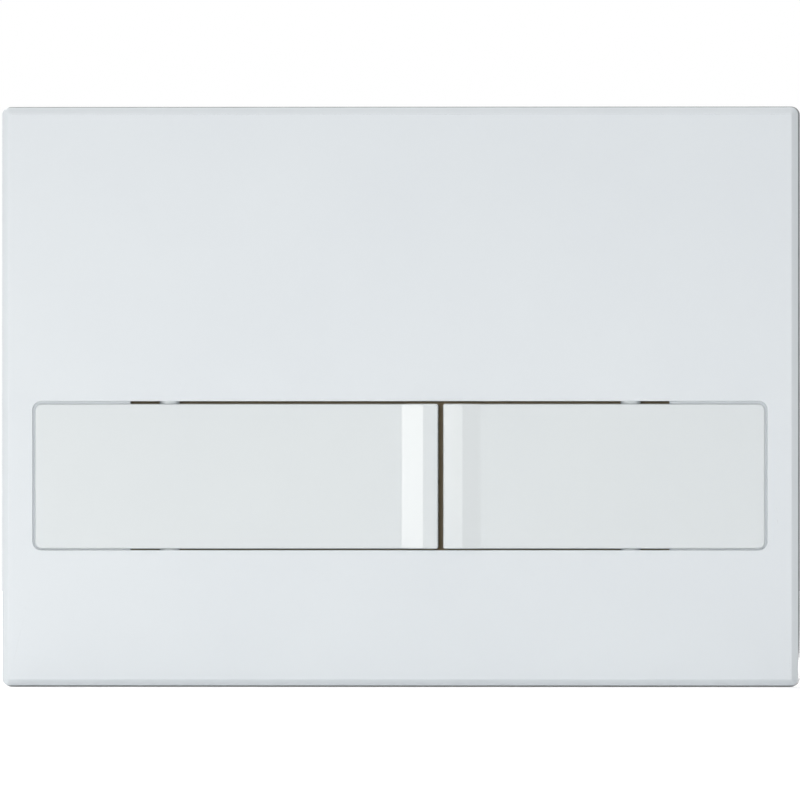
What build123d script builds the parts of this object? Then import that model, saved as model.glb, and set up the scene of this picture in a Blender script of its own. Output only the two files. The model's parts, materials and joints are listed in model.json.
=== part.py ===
"""Flush button plate of a concealed cistern: cover, two rocker buttons, mounting frame and push rods.

Millimetres. X runs to the right as seen from the room, Z up and Y into the wall. The origin is the middle of
the cover's rear rim, in the plane of the finished wall, so what the room sees lies at negative Y.
"""

import os
from math import cos, pi, radians, sin

from build123d import *

# Cover plate
cover_width = 220.0
cover_height = 160.0
cover_depth = 12.0
cover_wall = 2.4
cover_draft = 2.2
cover_corner_r = 2.4
cover_edge_bevel = 1.7
cover_edge_limit = 0.9
cover_inner_r = 1.0
cover_rib_wall = 1.2
cover_rib_height = 2.4
cover_rib_pitch = 36.0
cover_rib_count = 5
cross_rib_z = 44.0

# Window that the buttons fill: open in the middle, a shallow pocket with a ledge at each end
window_side_margin = 8.85
window_height = 41.0
window_drop = 21.8
window_corner_r = 2.4
ledge_depth = 1.3
ledge_width = 1.7
pocket_space = 0.8
pocket_floor = 1.8
tub_wall = 1.8
tub_depth = 7.0

# Rocker buttons
button_wall = 2.2
button_gap = 0.55
button_end_gap = 0.7
button_sag = 0.17
button_edge_break = 0.4
button_split_r = 0.6
button_rib_wall = 1.2
button_rib_height = 2.8
button_rib_pitch = 18.0
skirt_wall = 1.6
skirt_margin = 0.1
skirt_clearance = 0.8
rim_clearance = 0.3
rebate_clearance = 0.4
split_x = 11.3
split_gap = 1.4
press_angle = 6.0

# Raised lip at the inner end of each button: a ramp, then a land that falls a little towards the split
lip_width = 10.2
lip_rise = 2.2
lip_foot_r = 2.0
lip_crest_r = 0.5
full_land_width = 4.1
full_land_fall = 0.1
half_land_width = 5.4
half_land_fall = 0.42

# Bearings of the buttons: trunnions that snap into lugs behind the window's long edges
pivot_x = 63.5
pivot_to_pocket = 10.7
trunnion_d = 5.6
trunnion_cover = 1.1
bearing_clearance = 0.1
bearing_depth = 3.4
bearing_end_play = 0.3
bearing_end_wall = 1.6
lug_width = 10.0
snap_length = 2.3
snap_interference = 0.6

# Soft stops in the pockets
bumper_width = 5.0
bumper_length = 28.0
bumper_seat_depth = 0.6
bumper_seat_clearance = 0.1
bumper_clearance = 0.1
bumper_from_end = 13.0

# Mounting frame
frame_margin = 10.6
frame_margin_z = 14.6
frame_base = 2.4
frame_rib = 2.0
frame_corner_r = 3.0
frame_clearance = 1.2
opening_side_clearance = 1.5
opening_height = 102.0
collar_corner_r = 3.0
collar_reach = 9.0
bridge_wall = 2.6
bridge_flange = 1.8
panel_wall = 2.6
panel_clearance = 1.5
panel_rib_wall = 1.6
panel_rib_pitch = 27.0
panel_rib_columns = 5
panel_rib_spread = 18.0

# Snap hooks that hold the cover on the frame
hook_x = 50.0
hook_width = 9.0
hook_wall = 1.8
hook_barb = 1.2
hook_lead = 2.2
hook_tip = 0.6
hook_clearance = 0.3
catch_clearance = 0.2
catch_width = 14.0
catch_reach = 1.2
catch_wall = 1.4

# Plungers: a nose under each button, a tappet in a guide sleeve, a push rod and its lock nut
rod_x = 27.0
rod_d = 6.0
rod_reach = 72.0
rod_tip_chamfer = 1.2
thread_clearance = 0.05
nose_depth = 8.0
nose_r = 3.0
nose_width = 8.0
nose_clearance = 0.2
tappet_head_flats = 12.6
tappet_head_sides = 8
tappet_head_wall = 2.0
stem_d = 9.0
stem_clearance = 0.1
stem_bore_depth = 16.0
guide_length = 16.0
guide_wall = 3.8
cup_rim = 1.0
cup_depth = 4.2
cup_clearance = 0.5
stop_gap = 0.3
lock_nut_flats = 10.0
lock_nut_height = 3.2

# Return springs
spring_wire = 0.8
spring_turns = 4
spring_runs_per_turn = 12
spring_stem_clearance = 0.6
spring_end_gap = 0.1

# Fixing studs with their washers and clamp nuts
stud_x = 60.0
stud_z = 24.0
stud_d = 6.0
stud_waist_d = 5.3
stud_front_thread = 18.0
stud_rear_thread = 31.0
stud_reach = 62.0
stud_proud = 1.4
stud_slot_length = 14.0
stud_slot_clearance = 0.4
stud_face_clearance = 1.2
stud_bridge_height = 22.0
washer_size = 18.0
washer_wall = 1.6
washer_clearance = 0.2
clamp_nut_flats = 10.0
clamp_nut_height = 5.0

# Places that follow from the sizes above
face_y = -cover_depth
cover_back_y = face_y + cover_wall
window_width = cover_width - 2 * window_side_margin
window_bottom = -window_height / 2 - window_drop
pocket_start = pivot_x + pivot_to_pocket
pocket_depth = button_wall + pocket_space
pocket_back = pocket_depth + pocket_floor

pivot_depth = trunnion_cover + trunnion_d / 2
pivot_y = face_y + pivot_depth
bearing_r = trunnion_d / 2 + bearing_clearance
lug_depth = trunnion_cover + trunnion_d + snap_length
lug_reach = bearing_depth + bearing_end_wall

button_height = window_height - 2 * button_gap
button_z = -window_drop - button_sag
button_depth = trunnion_cover + trunnion_d + skirt_margin
button_outer = window_width / 2 - button_end_gap
skirt_outer = pocket_start - skirt_clearance
skirt_y = face_y + button_depth
rim_wall = ledge_depth - rim_clearance
rim_width = ledge_width - button_gap + rebate_clearance
full_inner_x = split_x - split_gap / 2
half_inner_x = split_x + split_gap / 2
bumper_x = window_width / 2 - bumper_from_end
bumper_height = bumper_seat_depth + pocket_space - bumper_clearance

frame_width = cover_width - 2 * cover_wall - 2 * frame_margin
frame_height = cover_height - 2 * cover_wall - 2 * frame_margin_z
frame_rise = cover_depth - pocket_back - frame_clearance
opening_width = 2 * (pocket_start + tub_wall + opening_side_clearance)

press_sweep = (pivot_x + full_inner_x) * sin(radians(press_angle))
panel_y = skirt_y + press_sweep + panel_clearance
head_front_y = face_y + nose_depth + nose_clearance
head_back_y = head_front_y + tappet_head_wall
sleeve_front_y = panel_y - cup_rim
cup_floor_y = sleeve_front_y + cup_depth
sleeve_rear_y = panel_y + guide_length
stem_end_y = sleeve_rear_y + stop_gap
stem_bore_y = stem_end_y - stem_bore_depth
cup_r = tappet_head_flats / 2 + cup_clearance
sleeve_r = stem_d / 2 + stem_clearance + guide_wall
threaded_bore_r = rod_d / 2 + thread_clearance

stud_front_y = cover_back_y + stud_face_clearance
stud_bridge_y = stud_front_y + stud_proud + clamp_nut_height + washer_wall

sides = (-1, 1)
hexagon = 6
facing_room = -0.5


def behind_face(depth):
    """Plane parallel to the wall, this far behind the cover's face. Its normal points to the room."""
    return Plane.XZ.offset(cover_depth - depth)


def at_wall(y):
    """Plane parallel to the wall at this Y. Its normal points to the room."""
    return Plane.XZ.offset(-y)


# Cover plate: a shallow box, open at the back, with a draft that narrows it towards the face
with BuildPart() as cover_plate:
    with BuildSketch(Plane.XZ):
        RectangleRounded(cover_width, cover_height, cover_corner_r)
    extrude(amount=cover_depth, taper=cover_draft)
    front_edges = cover_plate.faces().sort_by(Axis.Y)[0].edges()
    chamfer(front_edges, min(cover_edge_bevel, cover_edge_limit * cover_corner_r))
    with BuildSketch(Plane.XZ):
        RectangleRounded(cover_width - 2 * cover_wall, cover_height - 2 * cover_wall, cover_inner_r)
    extrude(amount=cover_depth - cover_wall, mode=Mode.SUBTRACT)

    # Stiffening ribs behind the face
    rib_span_z = cover_height - 2 * cover_wall
    with BuildSketch(behind_face(cover_wall)):
        with GridLocations(cover_rib_pitch, 0, cover_rib_count, 1):
            Rectangle(cover_rib_wall, rib_span_z)
        with Locations((0, cross_rib_z)):
            Rectangle(cover_width - 2 * cover_wall, cover_rib_wall)
    extrude(amount=-cover_rib_height)

    # Tub round the window, deep along its open middle
    with BuildSketch(behind_face(cover_wall)):
        with Locations((0, -window_drop)):
            RectangleRounded(
                window_width + 2 * tub_wall, window_height + 2 * tub_wall, window_corner_r + tub_wall
            )
    extrude(amount=cover_wall - pocket_back)
    with BuildSketch(behind_face(cover_wall)):
        with Locations((0, -window_drop)):
            Rectangle(2 * (pocket_start + tub_wall), window_height + 2 * tub_wall)
    extrude(amount=cover_wall - tub_depth)

    # Bearing lugs outside the tub's long walls
    with BuildSketch(behind_face(cover_wall)):
        with Locations((0, -window_drop)):
            with GridLocations(2 * pivot_x, window_height + lug_reach, 2, 2):
                Rectangle(lug_width, lug_reach)
    extrude(amount=cover_wall - lug_depth)

    # Window: ledge, end pockets and open middle
    with BuildSketch(behind_face(0)):
        with Locations((0, -window_drop)):
            RectangleRounded(window_width, window_height, window_corner_r)
    extrude(amount=-ledge_depth, mode=Mode.SUBTRACT)
    with BuildSketch(behind_face(0)):
        with Locations((0, -window_drop)):
            Rectangle(window_width - 2 * ledge_width, window_height - 2 * ledge_width)
    extrude(amount=-pocket_depth, mode=Mode.SUBTRACT)
    with BuildSketch(behind_face(0)):
        with Locations((0, -window_drop)):
            Rectangle(2 * pocket_start, window_height)
    extrude(amount=-lug_depth, mode=Mode.SUBTRACT)

    # Snap bearings, open to the rear so that the trunnions press in from behind
    with BuildSketch(Plane.XY.offset(window_bottom - bearing_depth)):
        with Locations((-pivot_x, pivot_y), (pivot_x, pivot_y)):
            Circle(bearing_r)
            Rectangle(
                trunnion_d - snap_interference,
                lug_depth - pivot_depth,
                align=(Align.CENTER, Align.MIN),
            )
    extrude(amount=window_height + 2 * bearing_depth, mode=Mode.SUBTRACT)

    # Seats for the soft stops
    with BuildSketch(behind_face(pocket_depth)):
        with Locations((-bumper_x, -window_drop), (bumper_x, -window_drop)):
            Rectangle(bumper_width + 2 * bumper_seat_clearance, bumper_length + 2 * bumper_seat_clearance)
    extrude(amount=-bumper_seat_depth, mode=Mode.SUBTRACT)

    # Snap hooks over the frame's upper and lower edges
    catch_back_y = -frame_rise + catch_wall
    barb_y = catch_back_y + catch_clearance
    hook_inner = frame_height / 2 + catch_reach + hook_clearance
    for side_x in sides:
        for side_z in sides:
            with BuildSketch(Plane.YZ.offset(side_x * hook_x - hook_width / 2)):
                with BuildLine():
                    Polyline(
                        (cover_back_y, side_z * hook_inner),
                        (barb_y, side_z * hook_inner),
                        (barb_y, side_z * (hook_inner - hook_barb)),
                        (barb_y + hook_tip, side_z * (hook_inner - hook_barb)),
                        (barb_y + hook_lead, side_z * hook_inner),
                        (barb_y + hook_lead, side_z * (hook_inner + hook_wall)),
                        (cover_back_y, side_z * (hook_inner + hook_wall)),
                        close=True,
                    )
                make_face()
            extrude(amount=hook_width)

# Mounting frame: a flat ring on the wall with an upstand round each edge and a collar into the shaft
with BuildPart() as mounting_frame:
    with BuildSketch(Plane.XZ):
        RectangleRounded(frame_width, frame_height, frame_corner_r)
        Rectangle(opening_width, opening_height, mode=Mode.SUBTRACT)
    extrude(amount=frame_base)
    with BuildSketch(Plane.XZ):
        RectangleRounded(frame_width, frame_height, frame_corner_r)
        Rectangle(frame_width - 2 * frame_rib, frame_height - 2 * frame_rib, mode=Mode.SUBTRACT)
    extrude(amount=frame_rise)
    with BuildSketch(at_wall(collar_reach)):
        RectangleRounded(opening_width + 2 * frame_rib, opening_height + 2 * frame_rib, collar_corner_r)
        Rectangle(opening_width, opening_height, mode=Mode.SUBTRACT)
    extrude(amount=collar_reach + frame_rise)

    # Catches for the cover's hooks
    with BuildSketch(at_wall(-frame_rise)):
        with GridLocations(2 * hook_x, frame_height + catch_reach, 2, 2):
            Rectangle(catch_width, catch_reach)
    extrude(amount=-catch_wall)

    # Upper bridge with the slots for the studs, stiffened by a flange along each edge
    bridge_span = opening_width + frame_rib
    with BuildSketch(at_wall(stud_bridge_y)):
        with Locations((0, stud_z)):
            Rectangle(bridge_span, stud_bridge_height)
    extrude(amount=-bridge_wall)
    with BuildSketch(at_wall(stud_bridge_y)):
        with Locations((0, stud_z)):
            with GridLocations(0, stud_bridge_height - bridge_flange, 1, 2):
                Rectangle(bridge_span, bridge_flange)
    extrude(amount=stud_bridge_y - collar_reach)
    with BuildSketch(at_wall(stud_bridge_y)):
        with Locations((-stud_x, stud_z), (stud_x, stud_z)):
            SlotOverall(stud_slot_length, stud_d + 2 * stud_slot_clearance)
    extrude(amount=-bridge_wall, mode=Mode.SUBTRACT)

    # Lower panel that closes the shaft behind the buttons, with ribs behind it
    panel_bottom = -(opening_height + frame_rib) / 2
    panel_top = stud_z - (stud_bridge_height - bridge_flange) / 2
    panel_middle = (panel_top + panel_bottom) / 2
    with BuildSketch(at_wall(panel_y)):
        with Locations((0, panel_middle)):
            Rectangle(bridge_span, panel_top - panel_bottom)
    extrude(amount=-panel_wall)
    with BuildSketch(at_wall(panel_y)):
        with Locations((0, -window_drop)):
            with GridLocations(0, panel_rib_spread, 1, 2):
                Rectangle(bridge_span, panel_rib_wall)
        with Locations((0, panel_middle)):
            with GridLocations(panel_rib_pitch, 0, panel_rib_columns, 1):
                Rectangle(panel_rib_wall, panel_top - panel_bottom)
    extrude(amount=panel_y - collar_reach)

    # Guide sleeves of the plungers, each with a cup for the return spring
    with BuildSketch(at_wall(sleeve_front_y)):
        with Locations((-rod_x, -window_drop), (rod_x, -window_drop)):
            Circle(sleeve_r)
    extrude(amount=sleeve_front_y - sleeve_rear_y)
    with BuildSketch(at_wall(sleeve_front_y)):
        with Locations((-rod_x, -window_drop), (rod_x, -window_drop)):
            Circle(cup_r)
    extrude(amount=-cup_depth, mode=Mode.SUBTRACT)
    with BuildSketch(at_wall(sleeve_front_y)):
        with Locations((-rod_x, -window_drop), (rod_x, -window_drop)):
            Circle(stem_d / 2 + stem_clearance)
    extrude(amount=sleeve_front_y - sleeve_rear_y, mode=Mode.SUBTRACT)


def face_line(depth, inner, land_width, land_fall, start, end):
    """Corners of a button's front line, sunk by depth, from its outer start to its end at the lip."""
    fall_at_end = land_fall * (inner + land_width - end) / land_width
    return [
        (start, face_y + depth),
        (inner + lip_width, face_y + depth),
        (inner + land_width, face_y - lip_rise + depth),
        (end, face_y - lip_rise + fall_at_end + depth),
    ]


def rocker_button(side, inner, land_width, land_fall):
    """A rocker whose outer end points to the given side. Lengths count outwards from the plate's middle."""
    low_z = button_z - button_height / 2
    with BuildPart() as rocker:
        # Solid form: the face with its lip, deep between the split and the pocket, thin over the pocket
        with BuildSketch(Plane.XY.offset(low_z)) as form:
            with BuildLine():
                corners = face_line(0, inner, land_width, land_fall, button_outer, inner) + [
                    (inner, skirt_y),
                    (skirt_outer, skirt_y),
                    (skirt_outer, face_y + button_wall),
                    (button_outer, face_y + button_wall),
                ]
                Polyline(*[(side * along, y) for along, y in corners], close=True)
            make_face()
            foot_point = (side * (inner + lip_width), face_y, low_z)
            foot = form.vertices().sort_by_distance(foot_point)[0]
            fillet(foot, lip_foot_r)
            crest_point = (side * (inner + land_width), face_y - lip_rise, low_z)
            crest = form.vertices().sort_by_distance(crest_point)[0]
            fillet(crest, lip_crest_r)
        extrude(amount=button_height)
        inner_corners, *_, outer_corners = rocker.edges().filter_by(Axis.Y).group_by(Axis.X)[::side]
        fillet(outer_corners, window_corner_r - button_end_gap)
        fillet(inner_corners, button_split_r)
        front_faces = rocker.faces().filter_by(lambda face: face.normal_at().Y < facing_room)
        shared = front_faces.edges()
        rim_edges = [edge for edge in shared if sum(edge.is_same(other) for other in shared) == 1]
        chamfer(rim_edges, button_edge_break)

        # Hollow behind the face, between the skirts
        with BuildSketch(Plane.XY.offset(low_z + skirt_wall)):
            with BuildLine():
                hollow_start = skirt_outer - skirt_wall
                hollow_end = inner + skirt_wall
                inner_line = face_line(
                    button_wall, inner, land_width, land_fall, hollow_start, hollow_end
                )
                corners = inner_line + [(hollow_end, skirt_y), (hollow_start, skirt_y)]
                Polyline(*[(side * along, y) for along, y in corners], close=True)
            make_face()
        extrude(amount=button_height - 2 * skirt_wall, mode=Mode.SUBTRACT)

        # Thin rim of the flap over the ledge of the pocket
        flap = button_outer - skirt_outer
        flap_x = side * (button_outer + skirt_outer) / 2
        with BuildSketch(behind_face(rim_wall)):
            with Locations((flap_x, button_z)):
                Rectangle(flap, button_height)
            with Locations((flap_x - side * rim_width / 2, button_z)):
                Rectangle(flap - rim_width, button_height - 2 * rim_width, mode=Mode.SUBTRACT)
        extrude(amount=rim_wall - button_wall, mode=Mode.SUBTRACT)

        # Ribs across the hollow and one along it
        rib_start = inner + lip_width
        rib_span = skirt_outer - skirt_wall / 2 - rib_start
        cross_ribs = int(rib_span / button_rib_pitch)
        with BuildSketch(behind_face(button_wall)):
            for number in range(1, cross_ribs + 1):
                with Locations((side * (rib_start + number * rib_span / (cross_ribs + 1)), button_z)):
                    Rectangle(button_rib_wall, button_height - skirt_wall)
            with Locations((side * (rib_start + rib_span / 2), button_z)):
                Rectangle(rib_span, button_rib_wall)
        extrude(amount=-button_rib_height)

        # Rounded nose that rests on the tappet
        nose_y = face_y + nose_depth - nose_r
        with BuildSketch(Plane.XY.offset(button_z - nose_width / 2)):
            with Locations((side * rod_x, nose_y)):
                Circle(nose_r)
                Rectangle(2 * nose_r, nose_depth - nose_r - button_wall, align=(Align.CENTER, Align.MAX))
        extrude(amount=nose_width)

        # Trunnions on the two long skirts
        trunnion_length = button_gap + bearing_depth - bearing_end_play
        with BuildSketch(Plane.XY.offset(low_z - trunnion_length)):
            with Locations((side * pivot_x, pivot_y)):
                Circle(trunnion_d / 2)
        extrude(amount=trunnion_length + skirt_wall)
        with BuildSketch(Plane.XY.offset(low_z + button_height - skirt_wall)):
            with Locations((side * pivot_x, pivot_y)):
                Circle(trunnion_d / 2)
        extrude(amount=trunnion_length + skirt_wall)
    return rocker.part


full_flush_button = rocker_button(-1, -full_inner_x, full_land_width, full_land_fall)
half_flush_button = rocker_button(1, half_inner_x, half_land_width, half_land_fall)


def bumper(side):
    """Soft strip in the seat of one pocket, where the outer end of the rocker comes to rest."""
    with BuildPart() as strip:
        with BuildSketch(behind_face(pocket_depth + bumper_seat_depth)):
            with Locations((side * bumper_x, -window_drop)):
                Rectangle(bumper_width, bumper_length)
        extrude(amount=bumper_height)
    return strip.part


def tappet(side):
    """Plunger: an eight-sided head, a stem for the guide sleeve and a bore for the push rod."""
    with BuildPart() as plunger:
        with BuildSketch(at_wall(head_back_y)):
            with Locations((side * rod_x, -window_drop)):
                RegularPolygon(tappet_head_flats / 2, tappet_head_sides, major_radius=False)
        extrude(amount=tappet_head_wall)
        with BuildSketch(at_wall(stem_end_y)):
            with Locations((side * rod_x, -window_drop)):
                Circle(stem_d / 2)
        extrude(amount=stem_end_y - head_back_y)
        with BuildSketch(at_wall(stem_end_y)):
            with Locations((side * rod_x, -window_drop)):
                Circle(threaded_bore_r)
        extrude(amount=stem_bore_depth, mode=Mode.SUBTRACT)
    return plunger.part


def push_rod(side):
    """Threaded rod from the bottom of the tappet's bore to its blunt tip at the cistern's lever."""
    with BuildPart() as rod:
        with BuildSketch(at_wall(rod_reach)):
            with Locations((side * rod_x, -window_drop)):
                Circle(rod_d / 2)
        extrude(amount=rod_reach - stem_bore_y)
        chamfer(rod.edges().group_by(Axis.Y)[-1], rod_tip_chamfer)
    return rod.part


def lock_nut(side):
    """Thin hexagon nut that locks the rod against the end of the stem."""
    with BuildPart() as nut:
        with BuildSketch(at_wall(stem_end_y)):
            with Locations((side * rod_x, -window_drop)):
                RegularPolygon(lock_nut_flats / 2, hexagon, major_radius=False)
                Circle(threaded_bore_r, mode=Mode.SUBTRACT)
        extrude(amount=-lock_nut_height)
    return nut.part


def return_spring(side):
    """Compression spring round the stem, between the tappet's head and the cup, in straight runs."""
    coil_r = stem_d / 2 + spring_stem_clearance + spring_wire / 2
    first_y = head_back_y + spring_end_gap + spring_wire / 2
    last_y = cup_floor_y - spring_end_gap - spring_wire / 2
    runs = spring_turns * spring_runs_per_turn
    points = []
    for run in range(runs + 1):
        angle = 2 * pi * run / spring_runs_per_turn
        points.append(
            (
                side * rod_x + coil_r * cos(angle),
                first_y + (last_y - first_y) * run / runs,
                -window_drop + coil_r * sin(angle),
            )
        )
    with BuildPart() as spring:
        with BuildLine() as coil:
            Polyline(*points)
        path = coil.wires()[0]
        with BuildSketch(Plane(origin=path @ 0, x_dir=(0, 1, 0), z_dir=path % 0)):
            Rectangle(spring_wire, spring_wire)
        sweep(path=path, transition=Transition.RIGHT)
    return spring.part


# Two studs: a thread at each end and a plain waist between them
with BuildPart() as fixing_studs:
    with BuildSketch(at_wall(stud_front_y)):
        with Locations((-stud_x, stud_z), (stud_x, stud_z)):
            Circle(stud_d / 2)
    extrude(amount=-stud_front_thread)
    with BuildSketch(at_wall(stud_front_y)):
        with Locations((-stud_x, stud_z), (stud_x, stud_z)):
            Circle(stud_waist_d / 2)
    extrude(amount=stud_front_y - stud_reach)
    with BuildSketch(at_wall(stud_reach)):
        with Locations((-stud_x, stud_z), (stud_x, stud_z)):
            Circle(stud_d / 2)
    extrude(amount=stud_rear_thread)

# Square plate washers that bridge the slots
with BuildPart() as clamp_washers:
    with BuildSketch(at_wall(stud_bridge_y)):
        with Locations((-stud_x, stud_z), (stud_x, stud_z)):
            Rectangle(washer_size, washer_size)
            Circle(stud_d / 2 + washer_clearance, mode=Mode.SUBTRACT)
    extrude(amount=washer_wall)

# Hexagon nuts that clamp the frame
with BuildPart() as clamp_nuts:
    with BuildSketch(at_wall(stud_bridge_y - washer_wall)):
        with Locations((-stud_x, stud_z), (stud_x, stud_z)):
            RegularPolygon(clamp_nut_flats / 2, hexagon, major_radius=False)
            Circle(stud_d / 2 + thread_clearance, mode=Mode.SUBTRACT)
    extrude(amount=clamp_nut_height)

pieces = {
    "cover_plate": cover_plate.part,
    "mounting_frame": mounting_frame.part,
    "full_flush_button": full_flush_button,
    "half_flush_button": half_flush_button,
    "fixing_studs": fixing_studs.part,
    "clamp_washers": clamp_washers.part,
    "clamp_nuts": clamp_nuts.part,
}
for flush, side in (("full_flush", -1), ("half_flush", 1)):
    pieces[f"{flush}_bumper"] = bumper(side)
    pieces[f"{flush}_tappet"] = tappet(side)
    pieces[f"{flush}_push_rod"] = push_rod(side)
    pieces[f"{flush}_lock_nut"] = lock_nut(side)
    pieces[f"{flush}_spring"] = return_spring(side)

os.makedirs("parts", exist_ok=True)
for name, piece in pieces.items():
    piece.label = name
    export_step(piece, f"parts/{name}.step")
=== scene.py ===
"""Looks of the flush button plate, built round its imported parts.

Metres, in the frame of the parts: X to the right as seen from the room, Y into the wall and Z up.
"""

import json
from math import cos, pi, radians, sin, sqrt

import bmesh
import bpy
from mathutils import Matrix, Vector


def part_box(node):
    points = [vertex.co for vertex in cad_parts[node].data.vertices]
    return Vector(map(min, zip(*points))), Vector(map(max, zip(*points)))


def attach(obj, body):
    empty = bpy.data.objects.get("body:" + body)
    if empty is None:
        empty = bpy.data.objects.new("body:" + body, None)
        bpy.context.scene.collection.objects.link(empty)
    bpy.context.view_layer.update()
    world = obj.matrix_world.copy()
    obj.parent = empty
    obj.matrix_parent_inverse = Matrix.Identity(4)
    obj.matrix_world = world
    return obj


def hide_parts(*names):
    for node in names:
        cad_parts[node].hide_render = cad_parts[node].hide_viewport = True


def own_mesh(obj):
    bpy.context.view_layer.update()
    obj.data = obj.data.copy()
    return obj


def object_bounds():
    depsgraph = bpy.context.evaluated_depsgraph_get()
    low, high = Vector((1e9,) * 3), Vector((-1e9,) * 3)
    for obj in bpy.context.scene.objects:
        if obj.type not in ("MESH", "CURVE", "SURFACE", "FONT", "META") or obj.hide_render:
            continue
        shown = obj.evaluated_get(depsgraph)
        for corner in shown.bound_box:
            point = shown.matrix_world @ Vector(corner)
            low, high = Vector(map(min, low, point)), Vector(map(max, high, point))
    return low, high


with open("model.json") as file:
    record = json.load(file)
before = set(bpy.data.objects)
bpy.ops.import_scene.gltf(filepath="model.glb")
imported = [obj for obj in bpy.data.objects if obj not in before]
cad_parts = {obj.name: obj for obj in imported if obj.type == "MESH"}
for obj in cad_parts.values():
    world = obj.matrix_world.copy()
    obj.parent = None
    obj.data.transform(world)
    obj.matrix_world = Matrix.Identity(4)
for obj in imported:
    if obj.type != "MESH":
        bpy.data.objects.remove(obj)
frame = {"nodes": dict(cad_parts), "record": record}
cad_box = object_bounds()
record = frame["record"]
body_of_node = {node: body for body, members in record["behaviour"]["bodies"].items() for node in members}

mm = 0.001
flushes = ("full_flush", "half_flush")

# Edge radii of the moulded and cut pieces, and the angles that call an edge sharp
cover_edge = 0.25 * mm
button_edge = 0.2 * mm
frame_edge = 0.3 * mm
stem_edge = 0.2 * mm
washer_edge = 0.15 * mm
soft_stop_edge = 0.2 * mm
cover_sharp_from = radians(40)
sharp_from = radians(50)
thread_sharp_from = radians(28)
nut_sharp_from = radians(20)
wire_sharp_from = radians(50)
flat_within = radians(0.5)
merge_distance = 0.001 * mm
edge_segments = 3
round_profile = 0.5

# Threads, nuts and springs. The studs' thread is drawn coarser than its real 1 mm, so that it shows
rod_pitch = 2.5 * mm
rod_thread_depth = 0.7 * mm
rod_chamfer = 1.1 * mm
stud_pitch = 1.5 * mm
stud_thread_depth = 0.55 * mm
stud_chamfer = 0.7 * mm
stud_front_thread = 18 * mm
stud_rear_thread = 31 * mm
stud_waist_r = 2.65 * mm
nut_bore_r = 3.05 * mm
nut_countersink = 0.4 * mm
nut_face_share = 0.95
spring_wire_r = 0.4 * mm
spring_turns = 5.0
spring_closed_turns = 1.0

# The attribute that tells a finish where the roots of a thread are, for the painted shade there
root_shade_mark = "thread_root"

# Marks that the ejector pins leave on the hidden sides, and the pitches at which they stand
pin_r = 2.4 * mm
pin_proud = 0.18 * mm
mark_sink = 0.3 * mm
mark_taper = 0.94
cover_rib_pitch = 36 * mm
cover_side_mark_x = 102.3 * mm
cover_end_mark_z = 70.5 * mm
panel_rib_pitch = 27 * mm
panel_mark_rise = 42 * mm
panel_middle_z = -20.5 * mm
flange_mark_x = 88.5 * mm
flange_mark_z = 59 * mm
flange_mark_pitch = 38 * mm

# The range that a noise texture hardly ever leaves: a finish's roughness is spread over it
noise_low = 0.3
noise_high = 0.7

# Camera, a little to the right of the plate and below its middle
photo_side = 800
photo_scale = 0.2752 * mm
face_centre_px = (399.7, 396.45)
camera_distance = 5.0
camera_far_clip = 20.0
camera_yaw = radians(1.8)
camera_drop = radians(0.35)
sensor = 36.0

# Floor: distances from the plate between which its glow grows, and the least share of it, seen and mirrored
floor_half = 6.0
floor_gap = 0.02 * mm
glow_from, glow_to, least_glow = 0.4, 1.6, 0.4
mirrored_from, mirrored_to, least_mirrored = 0.14, 0.6, 0.05

# Room: its level in front and behind, and the shares of it on the left, the right and the far right
room_reach = 0.6
front_room = 0.645
rear_room = 0.5
left_share = 1.06
right_share = 0.74
far_right_from, far_right_to, far_right_share = 0.3, 0.8, 0.45

# Grey card behind the plate
card_level = 0.08
card_y = 1.0
card_half_width = 0.8
card_top = 0.7

# Key light
key_angle = radians(41.4)
key_distance = 0.65
key_z = 0.004


def linear(hex_colour):
    """An sRGB hex colour as the linear one that shaders take."""
    shares = [int(hex_colour[place : place + 2], 16) / 255 for place in (1, 3, 5)]
    return [s / 12.92 if s <= 0.04045 else ((s + 0.055) / 1.055) ** 2.4 for s in shares] + [1.0]


def add(tree, kind, inputs=(), extra_items=0, **settings):
    """Adds a node with its settings and links.

    Inputs are listed in order, or keyed by name or place. Each is a value, a socket, or a node, which stands
    for its first output.
    """
    made = tree.nodes.new(kind)
    for key, value in settings.items():
        setattr(made, key, value)
    for _ in range(extra_items):
        made.index_switch_items.new()
    for key, value in inputs.items() if isinstance(inputs, dict) else enumerate(inputs):
        if isinstance(value, bpy.types.Node):
            value = value.outputs[0]
        if isinstance(value, bpy.types.NodeSocket):
            tree.links.new(value, made.inputs[key])
        else:
            made.inputs[key].default_value = value
    return made


def new_finish(name, **sockets):
    """An empty material with its surface shader set: the tree, the shader and the piece's own coordinates."""
    finish = bpy.data.materials.new(name)
    finish.use_nodes = True
    tree = finish.node_tree
    surface = tree.nodes["Principled BSDF"]
    for socket, value in sockets.items():
        surface.inputs[socket.replace("_", " ")].default_value = value
    place = add(tree, "ShaderNodeTexCoord").outputs["Object"]
    return finish, tree, surface, place


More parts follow.
